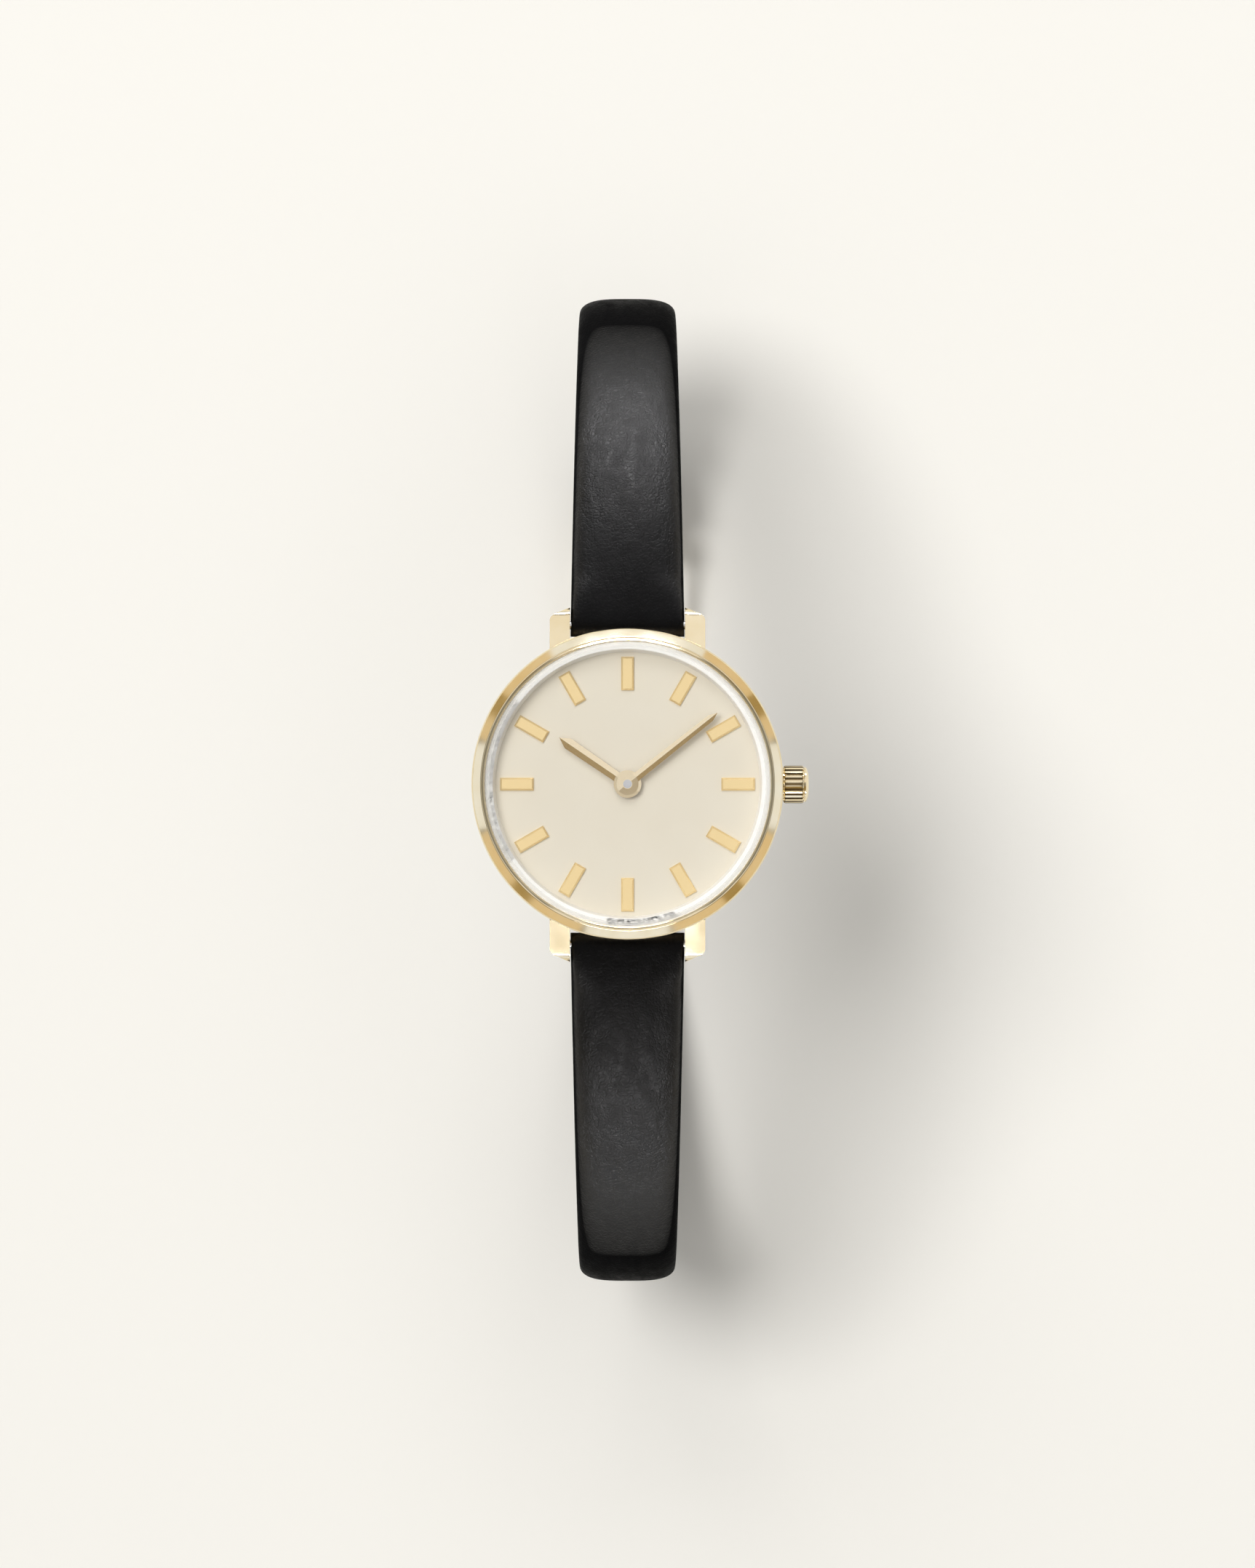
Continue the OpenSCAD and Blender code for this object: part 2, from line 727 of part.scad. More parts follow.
module lug_bar_pins() {
    color(steel) head() for (y = [-bar_y, bar_y])
        for (side = [0, 1])
            translate([0, y, bar_z])
                mirror([side, 0, 0])
                    x_rod(0.37, lug_gap / 2 - 1.3, lug_gap / 2 + 0.85);
}

// ---- Strap ----

// Turned end of the strap round a bar, with the hole for the bar left to cut
module knuckle(s, w) {
    on_strap(s)
        x_rod(root_r, -w / 2, w / 2);
}

module strap_12_leather() {
    slot_w = 1.9;
    color(leather) difference() {
        union() {
            strap_sweep(leather_section(), concat([0], lining_12_stops, [buckle_half_len]),
                buckle_half_len, false);
            knuckle(0, root_w);
            knuckle(buckle_half_len, buckle_w);
        }
        on_strap(0)
            x_rod(bar_r + 0.07, -lug_gap, lug_gap);
        on_strap(buckle_half_len) {
            x_rod(hinge_r, -lug_gap, lug_gap);
            translate([-slot_w / 2, -2.2, -3])
                cube([slot_w, 6, 6]);
        }
    }
}

module strap_12_lining() {
    color("#3a3029") strap_sweep(lining_section(), lining_12_stops, buckle_half_len, false);
}

module strap_6_leather() {
    color(leather) mirror([0, 1, 0]) difference() {
        union() {
            strap_sweep(leather_section(), concat([0], lining_6_stops), tail_half_len, true);
            knuckle(0, root_w);
        }
        on_strap(0)
            x_rod(bar_r + 0.07, -lug_gap, lug_gap);
        tail_holes();
    }
}

module tail_holes() {
    for (i = [0:hole_count - 1])
        on_strap(tail_half_len - first_hole - i * hole_pitch)
            z_rod(hole_r, -strap_t, strap_t);
}

module strap_6_lining() {
    color("#3a3029") mirror([0, 1, 0]) difference() {
        strap_sweep(lining_section(), lining_6_stops, tail_half_len, true);
        tail_holes();
    }
}

// Leather loop round the strap with room above it for the tail
module keeper(floor_z) {
    in_w = buckle_w + 0.5;
    translate([0, keeper_len / 2, 0])
        rotate([90, 0, 0])
            linear_extrude(keeper_len)
                difference() {
                    translate([-in_w / 2 - keeper_wall, floor_z - keeper_wall])
                        square([in_w + 2 * keeper_wall, keeper_room - floor_z + 2 * keeper_wall]);
                    translate([-in_w / 2, floor_z])
                        square([in_w, keeper_room - floor_z]);
                }
}

module fixed_keeper() {
    color(leather) on_strap(fixed_keeper_s) keeper(-strap_t / 2);
}

module free_keeper() {
    color(leather) on_strap(free_keeper_s) keeper(-strap_t / 2 - 0.12);
}

// ---- Buckle ----

module buckle_frame() {
    corner_r = 1.6;
    arm_x = frame_in_w / 2 + eye_w / 2;
    arm_r = eye_w / 2 - 0.05;
    color(gold) on_strap(buckle_half_len, buckle_head) difference() {
        union() {
            for (side = [0, 1])
                mirror([side, 0, 0]) {
                    x_rod(eye_r, frame_in_w / 2, frame_in_w / 2 + eye_w);
                    translate([arm_x, 0, 0])
                        rotate([-90, 0, 0])
                            cylinder(r = arm_r, h = frame_len - corner_r);
                    translate([arm_x - corner_r, frame_len - corner_r, 0])
                        rotate_extrude(angle = 90)
                            translate([corner_r, 0])
                                circle(r = arm_r);
                    translate([0, frame_len, 0])
                        x_rod(arm_r, 2.5, arm_x - corner_r);
                }
            translate([0, frame_len, 0])
                x_rod(frame_rod_r, -2.6, 2.6);
        }
        x_rod(0.4, -frame_in_w, frame_in_w);
    }
}

module buckle_tongue() {
    w = 1.3;
    over = frame_rod_r + 0.08;
    color(gold) on_strap(buckle_half_len, buckle_head) difference() {
        translate([-w / 2, 0, 0])
            rotate([90, 0, 90])
                linear_extrude(w)
                    union() {
                        circle(r = eye_r);
                        polygon([[0, 0], [0.9, 0.2], [frame_len - 1.2, over], [frame_len + 0.8, over],
                            [frame_len + 1.3, over - 0.25], [frame_len + 1.25, over + 0.3],
                            [frame_len + 0.7, over + 0.62], [frame_len - 1.4, over + 0.66],
                            [3, 1.2], [0, 1]]);
                    }
        x_rod(hinge_r, -2, 2);
    }
}

module buckle_bar() {
    color(steel) on_strap(buckle_half_len, buckle_head) {
        x_rod(0.55, -buckle_w / 2 + 0.1, buckle_w / 2 - 0.1);
        x_rod(0.35, 0.1 - frame_in_w / 2 - eye_w, frame_in_w / 2 + eye_w - 0.1);
    }
}

case_body();
bezel();
crystal();
crystal_gasket();
dial_ring();
dial();
hour_markers();
case_back();
case_back_gasket();
crown_tube();
movement_ring();
main_plate();
train_bridge();
circuit_board();
control_chip();
oscillator_can();
coil_core();
coil_winding();
stator();
battery();
battery_clip();
battery_insulator();
movement_screws();
minute_hand();
cannon_pinion();
centre_wheel();
hour_hand();
hour_wheel();
minute_wheel();
intermediate_wheel();
rotor();
setting_lever();
crown();
crown_gasket();
stem();
clutch_pinion();
lug_bar_barrels();
lug_bar_pins();
strap_12_leather();
strap_12_lining();
strap_6_leather();
strap_6_lining();
fixed_keeper();
free_keeper();
buckle_frame();
buckle_tongue();
buckle_bar();
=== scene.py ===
"""Small round wristwatch on a black leather strap, standing dial up on its unfastened strap."""
import json
from math import ceil, cos, pi, radians, sin, sqrt

import bmesh
import bpy
from mathutils import Matrix, Vector


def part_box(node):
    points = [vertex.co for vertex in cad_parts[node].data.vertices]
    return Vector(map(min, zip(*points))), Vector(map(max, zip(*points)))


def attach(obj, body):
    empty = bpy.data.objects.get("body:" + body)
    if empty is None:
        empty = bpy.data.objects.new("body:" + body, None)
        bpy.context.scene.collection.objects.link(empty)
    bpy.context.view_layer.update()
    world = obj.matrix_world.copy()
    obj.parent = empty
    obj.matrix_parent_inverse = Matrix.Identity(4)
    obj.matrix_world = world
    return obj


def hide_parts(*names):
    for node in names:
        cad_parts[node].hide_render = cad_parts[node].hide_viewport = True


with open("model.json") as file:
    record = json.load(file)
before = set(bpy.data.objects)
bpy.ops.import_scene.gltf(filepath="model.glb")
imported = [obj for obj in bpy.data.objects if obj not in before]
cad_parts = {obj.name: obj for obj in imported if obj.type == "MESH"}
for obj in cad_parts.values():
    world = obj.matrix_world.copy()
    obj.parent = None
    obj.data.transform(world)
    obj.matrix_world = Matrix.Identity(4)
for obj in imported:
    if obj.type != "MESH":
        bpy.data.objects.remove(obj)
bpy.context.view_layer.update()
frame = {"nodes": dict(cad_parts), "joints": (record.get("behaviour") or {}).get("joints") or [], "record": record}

MM = 0.001
nodes = frame["nodes"]
slot_of = {part["node"]: part["material_slot"] for part in frame["record"]["subparts"]}
bodies = frame["record"]["behaviour"]["bodies"]
body_of = {node: body for body, members in bodies.items() for node in members}
joints = {joint["name"]: joint for joint in frame["joints"]}

# ---------------------------------------------------------------- sizes in millimetres
# The frame gives the places; the strap's own sizes are those of the CAD model.

bezel_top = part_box("bezel")[1]
BEZEL_R = bezel_top.x / MM
BEZEL_RISE = 3.42                       # bezel's inner rim above the crown's axis
HEAD_Z = bezel_top.z / MM - BEZEL_RISE
LUG_BAR = Vector(joints["strap_12_pivot"]["pos_m"]) / MM
STRAP_T = 2.0
LINING_T = 0.5
ROOT_W = 9.9
BUCKLE_W = 7.4
TAPER = 0.0355                          # width lost per length
BUCKLE_HALF = 70.0                      # from the lug bar to the buckle bar
TAIL_HALF = 102.4                       # from the lug bar to the tip
TIP_LEN = 4.0
KEEPER_LEN = 3.0
DOME = 3.4                              # squareness of the strap's section along its length
ROOT_FULLNESS = 22                      # and where it turns round a bar
BAR_REACH = 5.0                         # how far from a bar the section is still squarer
TURN_REACH = 0.98                       # how far the turned leather reaches past a bar's middle
LUG_BORE_R, BUCKLE_BORE_R = 0.72, 0.62
LINING_START = 1.4                      # from the lug bar
LINING_STOP = 2.4                       # from the buckle bar


# ---------------------------------------------------------------- materials

def material(name, colour, roughness, metallic=0.0, specular=0.5):
    """New material with the values that don't vary over it."""
    mat = bpy.data.materials.new(name)
    mat.use_nodes = True
    shader = mat.node_tree.nodes["Principled BSDF"]
    shader.inputs["Base Color"].default_value = (*colour, 1)
    shader.inputs["Roughness"].default_value = roughness
    shader.inputs["Metallic"].default_value = metallic
    shader.inputs["Specular IOR Level"].default_value = specular
    return mat


def add(mat, kind, **inputs):
    """Adds a node; sockets are given by name with underscores, as numbers or as sockets to link."""
    node = mat.node_tree.nodes.new(kind)
    for key, value in inputs.items():
        socket = node.inputs[key.replace("_", " ")]
        if isinstance(value, bpy.types.NodeSocket):
            mat.node_tree.links.new(value, socket)
        else:
            socket.default_value = value
    return node


def coords(mat, scale=(1, 1, 1), turn=(0, 0, 0)):
    """The piece's own coordinates in metres, scaled and turned for patterns with a direction."""
    place = add(mat, "ShaderNodeTexCoord").outputs["Object"]
    return add(mat, "ShaderNodeMapping", Vector=place, Scale=scale, Rotation=turn).outputs["Vector"]


def noise(mat, vector, size_mm, detail=3.0, rough=0.5):
    """Cloudy pattern with features of about size_mm."""
    scale = 1 / (size_mm * MM)
    node = add(mat, "ShaderNodeTexNoise", Vector=vector, Scale=scale, Detail=detail, Roughness=rough)
    return node.outputs["Fac"]


def combine(mat, operation, first, second):
    """Math node on two values, each a number or a socket."""
    node = mat.node_tree.nodes.new("ShaderNodeMath")
    node.operation = operation
    for socket, value in zip(node.inputs, (first, second)):
        if isinstance(value, bpy.types.NodeSocket):
            mat.node_tree.links.new(value, socket)
        else:
            socket.default_value = value
    return node.outputs[0]


def spread(mat, value, low, high, from_low=0.3, from_high=0.7):
    """Maps a value from one range to another; a noise mostly stays in the default range."""
    node = add(mat, "ShaderNodeMapRange", Value=value)
    node.inputs["From Min"].default_value = from_low
    node.inputs["From Max"].default_value = from_high
    node.inputs["To Min"].default_value = low
    node.inputs["To Max"].default_value = high
    return node.outputs["Result"]


def tint(mat, value, dark, light):
    """Blends two colours by a value."""
    node = add(mat, "ShaderNodeMix")
    node.data_type = "RGBA"
    mat.node_tree.links.new(value, node.inputs[0])
    node.inputs[6].default_value = (*dark, 1)
    node.inputs[7].default_value = (*light, 1)
    return node.outputs[2]


def feed(mat, socket_name, value):
    """Links a socket to the material's shader."""
    mat.node_tree.links.new(value, mat.node_tree.nodes["Principled BSDF"].inputs[socket_name])


def bump(mat, height, depth_mm, strength=1.0, under=None):
    """Feeds a height pattern to the shader, on top of an earlier one when under is given."""
    node = add(mat, "ShaderNodeBump", Height=height, Strength=strength, Distance=depth_mm * MM)
    if under is not None:
        mat.node_tree.links.new(under, node.inputs["Normal"])
    feed(mat, "Normal", node.outputs["Normal"])
    return node.outputs["Normal"]


def gold_plate():
    """Polished pale gold with faint cloudy wear and hairlines."""
    mat = material("gold_plate", (0.86, 0.74, 0.50), 0.12, metallic=1.0)
    cloud = noise(mat, coords(mat), 2.2, detail=4)
    feed(mat, "Base Color", tint(mat, spread(mat, cloud, 0, 1), (0.83, 0.70, 0.45), (0.88, 0.77, 0.54)))
    feed(mat, "Roughness", spread(mat, cloud, 0.09, 0.17))
    hairlines = noise(mat, coords(mat, scale=(1, 14, 1), turn=(0, 0, 0.6)), 0.9, detail=2)
    bump(mat, hairlines, 0.0015, strength=0.15)
    return mat


def gold_satin(name, dark, light, metallic):
    """Finely grained gold, softer than the case: markers and hands, and a darkened copy whose colour is painted
    shade in the crown's grooves.
    """
    mat = material(name, light, 0.22, metallic=metallic)
    grain = noise(mat, coords(mat), 0.12, detail=4)
    feed(mat, "Base Color", tint(mat, spread(mat, grain, 0, 1), dark, light))
    feed(mat, "Roughness", spread(mat, grain, 0.18, 0.26))
    bump(mat, grain, 0.001, strength=0.3)
    return mat


def turned_metal(name, colour, roughness, ring_mm):
    """Metal with fine turning rings about the dial's axis."""
    mat = material(name, colour, roughness, metallic=1.0)
    rings = add(mat, "ShaderNodeTexWave", Vector=coords(mat), Scale=0.3 / (ring_mm * MM), Distortion=0.4)
    rings.wave_type = "RINGS"
    rings.rings_direction = "Z"
    cloud = noise(mat, coords(mat), 1.5)
    light = tuple(min(1, c * 1.08) for c in colour)
    dark = tuple(c * 0.88 for c in colour)
    feed(mat, "Base Color", tint(mat, spread(mat, cloud, 0, 1), dark, light))
    feed(mat, "Roughness", spread(mat, cloud, roughness * 0.8, roughness * 1.25))
    bump(mat, rings.outputs["Fac"], 0.002, strength=0.4)
    return mat


def plastic(name, colour, roughness):
    """Moulded surface with a fine grain."""
    mat = material(name, colour, roughness)
    grain = noise(mat, coords(mat), 0.25, detail=4)
    dark = tuple(c * 0.9 for c in colour)
    feed(mat, "Base Color", tint(mat, spread(mat, grain, 0, 1), dark, colour))
    feed(mat, "Roughness", spread(mat, grain, roughness * 0.85, min(1, roughness * 1.2)))
    bump(mat, grain, 0.004, strength=0.4)
    return mat


def circuit():
    """Green board with copper tracks under the lacquer."""
    mat = material("board_green", (0.05, 0.22, 0.08), 0.35)
    cells = add(mat, "ShaderNodeTexVoronoi", Vector=coords(mat), Scale=1 / (1.1 * MM))
    cells.feature = "DISTANCE_TO_EDGE"
    track = spread(mat, cells.outputs["Distance"], 1, 0, 0.05, 0.09)
    feed(mat, "Base Color", tint(mat, track, (0.02, 0.13, 0.045), (0.16, 0.36, 0.12)))
    feed(mat, "Roughness", spread(mat, noise(mat, coords(mat), 0.3), 0.28, 0.42))
    bump(mat, track, 0.01, strength=0.5)
    return mat


def winding():
    """Turns of enamelled copper wire across the coil."""
    mat = material("copper_wire", (0.55, 0.2, 0.07), 0.3, metallic=1.0)
    turns = add(mat, "ShaderNodeTexWave", Vector=coords(mat), Scale=0.3 / (0.06 * MM), Distortion=0.3)
    turns.bands_direction = "X"
    feed(mat, "Base Color", tint(mat, turns.outputs["Fac"], (0.36, 0.11, 0.035), (0.66, 0.27, 0.1)))
    bump(mat, turns.outputs["Fac"], 0.01, strength=0.8)
    return mat


def enamel(name, colour, roughness):
    """Smooth white surface with only a faint cloudiness."""
    mat = material(name, colour, roughness)
    cloud = noise(mat, coords(mat), 1.8, detail=2)
    feed(mat, "Base Color", tint(mat, spread(mat, cloud, 0, 1), tuple(c * 0.97 for c in colour), colour))
    feed(mat, "Roughness", spread(mat, cloud, roughness * 0.9, roughness * 1.1))
    return mat


def dial_lacquer():
    """Matt cream lacquer over a very fine sandblasted grain."""
    mat = material("dial_cream", (0.84, 0.78, 0.665), 0.55, specular=0.3)
    grain = noise(mat, coords(mat), 0.07, detail=5, rough=0.6)
    cloud = noise(mat, coords(mat), 5.0, detail=2)
    feed(mat, "Base Color", tint(mat, spread(mat, cloud, 0, 1), (0.71, 0.653, 0.536), (0.726, 0.673, 0.559)))
    feed(mat, "Roughness", spread(mat, grain, 0.48, 0.66))
    bump(mat, grain, 0.003, strength=0.5)
    return mat


def leather(name, colour, light, grain_mm, depth_mm, roughness):
    """Close-grained calf with slanting creases and a gloss that is strongest at middling angles."""
    mat = material(name, colour, roughness, specular=0.22)
    slanting = coords(mat, scale=(1, 0.45, 0.45), turn=(0.1, 0.2, 0.75))
    warp_mm = 0.8
    shifted = add(mat, "ShaderNodeVectorMath")
    shifted.operation = "MULTIPLY_ADD"
    mat.node_tree.links.new(noise(mat, coords(mat), 1.4, detail=2), shifted.inputs[0])
    shifted.inputs[1].default_value = (warp_mm * MM,) * 3
    mat.node_tree.links.new(coords(mat), shifted.inputs[2])
    pebble = add(mat, "ShaderNodeTexVoronoi", Vector=shifted.outputs[0], Scale=1 / (grain_mm * MM))
    pebble.feature = "DISTANCE_TO_EDGE"
    pebbles = spread(mat, pebble.outputs["Distance"], 0, 1, 0.0, 0.22)
    creases = noise(mat, slanting, 0.9, detail=6, rough=0.62)
    pores = noise(mat, coords(mat), 0.09, detail=2)
    uneven = noise(mat, coords(mat), 6.0, detail=3)
    feed(mat, "Base Color", tint(mat, spread(mat, uneven, 0, 1), colour, light))
    feed(mat, "Roughness", spread(mat, creases, roughness * 0.75, roughness * 1.25))
    glancing = add(mat, "ShaderNodeLayerWeight", Blend=0.5).outputs["Facing"]
    rise = spread(mat, glancing, 0.055, 0.42, 0.03, 0.27)
    fall = spread(mat, glancing, 1.0, 0.01, 0.30, 0.48)
    feed(mat, "Specular IOR Level", combine(mat, "MULTIPLY", rise, fall))
    first = bump(mat, pebbles, depth_mm, strength=0.9)
    second = bump(mat, creases, depth_mm * 9, strength=0.9, under=first)
    bump(mat, pores, depth_mm * 0.5, strength=0.4, under=second)
    return mat


def clear_glass(name, haze, haze_colour, polish):
    """Clear glass with gloss where a ray enters; polish is its roughness, haze the ground share."""
    mat = bpy.data.materials.new(name)
    mat.use_nodes = True
    tree = mat.node_tree
    tree.nodes.remove(tree.nodes["Principled BSDF"])
    clear = add(mat, "ShaderNodeBsdfTransparent")
    ground = add(mat, "ShaderNodeBsdfDiffuse", Color=(*haze_colour, 1))
    gloss = add(mat, "ShaderNodeBsdfGlossy", Roughness=polish)
    body = add(mat, "ShaderNodeMixShader", Fac=haze)
    tree.links.new(clear.outputs[0], body.inputs[1])
    tree.links.new(ground.outputs[0], body.inputs[2])
    outside = combine(mat, "SUBTRACT", 1, add(mat, "ShaderNodeNewGeometry").outputs["Backfacing"])
    fresnel = add(mat, "ShaderNodeFresnel", IOR=1.5).outputs[0]
    coat = add(mat, "ShaderNodeMixShader", Fac=combine(mat, "MULTIPLY", fresnel, outside))
    tree.links.new(body.outputs[0], coat.inputs[1])
    tree.links.new(gloss.outputs[0], coat.inputs[2])
    tree.links.new(coat.outputs[0], tree.nodes["Material Output"].inputs["Surface"])
    return mat


GOLD = gold_plate()
GOLD_SATIN = gold_satin("gold_satin", (0.83, 0.64, 0.32), (0.88, 0.69, 0.36), 0.6)
GOLD_HANDS = gold_satin("gold_hands", (0.84, 0.72, 0.50), (0.88, 0.77, 0.55), 1.0)
# Dark gold for the crown's grooves: its colour is painted shade, standing in for the shade that falls deep in
# them.
GOLD_PAINTED_SHADE = gold_satin("gold_painted_shade", (0.16, 0.11, 0.045), (0.22, 0.155, 0.065), 0.7)
LEATHER = leather("strap_leather", (0.0025, 0.0025, 0.0027), (0.005, 0.005, 0.0054),
                  grain_mm=0.34, depth_mm=0.014, roughness=0.42)
LINING = leather("strap_lining", (0.035, 0.028, 0.024), (0.055, 0.046, 0.040),
                 grain_mm=0.2, depth_mm=0.02, roughness=0.85)
GLASS = clear_glass("crystal_glass", haze=0.0, haze_colour=(1, 1, 1), polish=0.02)
GLASS_EDGE = clear_glass("crystal_edge", haze=0.35, haze_colour=(0.80, 0.79, 0.75), polish=0.35)
SLOT_MATERIALS = {
    "gold_plate": GOLD,
    "steel": turned_metal("steel", (0.62, 0.63, 0.65), 0.24, 0.12),
    "soft_iron": turned_metal("soft_iron", (0.42, 0.42, 0.44), 0.38, 0.3),
    "crystal_glass": GLASS,
    "white_gasket": enamel("white_gasket", (0.95, 0.94, 0.91), 0.45),
    "ring_enamel": enamel("ring_enamel", (0.93, 0.91, 0.87), 0.4),
    "black_gasket": plastic("black_gasket", (0.02, 0.02, 0.02), 0.6),
    "dial_cream": dial_lacquer(),
    "movement_brass": turned_metal("movement_brass", (0.74, 0.52, 0.22), 0.25, 0.1),
    "gold_spring": turned_metal("gold_spring", (0.78, 0.55, 0.25), 0.22, 0.2),
    "spacer_plastic": plastic("spacer_plastic", (0.80, 0.79, 0.74), 0.5),
    "board_green": circuit(),
    "chip_black": plastic("chip_black", (0.015, 0.015, 0.018), 0.35),
    "copper_wire": winding(),
    "cell_steel": turned_metal("cell_steel", (0.70, 0.70, 0.71), 0.2, 0.15),
    "insulator": plastic("insulator", (0.62, 0.42, 0.14), 0.3),
    "magnet": turned_metal("magnet", (0.22, 0.22, 0.24), 0.4, 0.08),
    "strap_leather": LEATHER,
    "strap_lining": LINING,
}
# Nodes whose look differs from the rest of their slot.
NODE_MATERIALS = {"hour_markers": GOLD_SATIN, "hour_hand": GOLD_HANDS, "minute_hand": GOLD_HANDS}


# ---------------------------------------------------------------- mesh helpers

def mesh_piece(name, verts, faces, *materials, sharp_deg=32):
    """A piece from points in millimetres; faces sharper than sharp_deg keep a hard edge."""
    mesh = bpy.data.meshes.new(name)
    mesh.from_pydata([Vector(v) * MM for v in verts], [], faces)
    piece = bpy.data.objects.new(name, mesh)
    bpy.context.scene.collection.objects.link(piece)
    for mat in materials:
        mesh.materials.append(mat)
    tidy_mesh(piece, sharp_deg)
    return piece


def tidy_mesh(piece, sharp_deg):
    """Merges doubles, faces the surface outwards and shades it smooth between its hard edges."""
    work = bmesh.new()
    work.from_mesh(piece.data)
    bmesh.ops.remove_doubles(work, verts=work.verts, dist=1e-7)
    bmesh.ops.recalc_face_normals(work, faces=work.faces)
    work.to_mesh(piece.data)
    work.free()
    piece.data.shade_smooth()
    piece.data.set_sharp_from_angle(angle=radians(sharp_deg))


def rounded(outline, radius, steps=4):
    """A closed outline with each corner cut back by radius and bridged with a curve."""
    points = []
    count = len(outline)
    for i, corner in enumerate(outline):
        corner = Vector(corner)
        before = Vector(outline[i - 1]) - corner
        after = Vector(outline[(i + 1) % count]) - corner
        back = min(radius, before.length * 0.45, after.length * 0.45)
        start = corner + before.normalized() * back
        end = corner + after.normalized() * back
        for k in range(steps + 1):
            t = k / steps
            points.append(start * (1 - t) ** 2 + corner * 2 * t * (1 - t) + end * t * t)
    return points


def loft(rings, closed_along=False):
    """Quads between rings of equal length; open ends are capped."""
    size = len(rings[0])
    verts = [point for ring in rings for point in ring]
    last = len(rings) if closed_along else len(rings) - 1
    faces = []
    for i in range(last):
        a, b = i * size, ((i + 1) % len(rings)) * size
        for j in range(size):
            k = (j + 1) % size
            faces.append((a + j, a + k, b + k, b + j))
    if not closed_along:
        faces.append(tuple(range(size))[::-1])
        faces.append(tuple((len(rings) - 1) * size + j for j in range(size)))
    return verts, faces


def lathe(name, outline, *materials, steps=256, sharp_deg=32):
    """Turns a closed (radius, height) outline about the dial's axis; heights are from the crown's axis."""
    rings = []
    for i in range(steps):
        a = 2 * pi * i / steps
        rings.append([(r * cos(a), r * sin(a), HEAD_Z + z) for r, z in outline])
    verts, faces = loft(rings, closed_along=True)
    return mesh_piece(name, verts, faces, *materials, sharp_deg=sharp_deg)


def stand_for(piece, node):
    """The piece replaces that CAD node, and takes its body."""
    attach(piece, body_of[node])
    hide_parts(node)
    return piece


def apply_modifiers(piece):
    """Bakes the piece's modifiers into a new mesh."""
    graph = bpy.context.evaluated_depsgraph_get()
    mesh = bpy.data.meshes.new_from_object(piece.evaluated_get(graph))
    piece.modifiers.clear()
    piece.data = mesh


def softened(node, mat, edge_mm, steps=2, limit_deg=28):
    """A copy of a CAD node with its edges broken, as plating and polishing leave them."""
    piece = bpy.data.objects.new(node + "_finished", nodes[node].data.copy())
    bpy.context.scene.collection.objects.link(piece)
    piece.data.materials.clear()
    piece.data.materials.append(mat)
    work = bmesh.new()
    work.from_mesh(piece.data)
    bmesh.ops.remove_doubles(work, verts=work.verts, dist=2e-6)
    bmesh.ops.dissolve_limit(work, angle_limit=radians(0.6), verts=work.verts, edges=work.edges)
    work.to_mesh(piece.data)
    work.free()
    edge = piece.modifiers.new("edge", "BEVEL")
    edge.width = edge_mm * MM
    edge.segments = steps
    edge.limit_method = "ANGLE"
    edge.angle_limit = radians(limit_deg)
    weigh = piece.modifiers.new("weigh", "WEIGHTED_NORMAL")
    weigh.keep_sharp = True
    piece.data.shade_smooth()
    apply_modifiers(piece)
    return stand_for(piece, node)


def cut(piece, cutter):
    """Takes the cutter out of the piece and deletes it."""
    knife = piece.modifiers.new("cut", "BOOLEAN")
    knife.operation = "DIFFERENCE"
    knife.solver = "EXACT"
    knife.object = cutter
    bpy.context.view_layer.update()
    apply_modifiers(piece)
    bpy.data.objects.remove(cutter)


# ---------------------------------------------------------------- case and glass

def make_bezel():
    """Upright wall, chamfer, the band that slopes outwards, and a lip that dips to the crystal."""
    outer, seat, lip = BEZEL_R, BEZEL_R - 0.75, BEZEL_R - 1.12
    foot_z, seat_z, wall_z, rim_z = 1.15, 1.95, 2.66, 3.41
    chamfer = (outer - 0.1, wall_z + 0.18)
    band_top = (outer - 0.78, rim_z - 0.01)
    outline = [(seat, foot_z), (outer, foot_z), (outer, wall_z), chamfer, band_top,
               (outer - 0.84, rim_z), (lip, rim_z - 0.15), (lip, seat_z), (seat, seat_z)]
    return stand_for(lathe("bezel_ring", rounded(outline, 0.06), GOLD, steps=320), "bezel")


def make_crystal():
    """Flat glass disc whose bevelled edge has the ground haze."""
    r, bevel, axis = BEZEL_R - 1.2, 0.28, 0.001
    foot_z, wall_z, bevel_z, top_z = 2.8, 3.35, 3.62, 3.65
    outline = [(axis, foot_z), (r, foot_z), (r, wall_z),
               (r - bevel, bevel_z), (r - bevel - 0.08, top_z), (axis, top_z)]
    piece = lathe("crystal_glass", rounded(outline, 0.02, 2), GLASS, GLASS_EDGE, sharp_deg=8)
    for face in piece.data.polygons:
        middle = face.center / MM
        if middle.xy.length > r - bevel - 0.05 and middle.z > HEAD_Z + wall_z - 0.01:
            face.material_index = 1
    return stand_for(piece, "crystal")


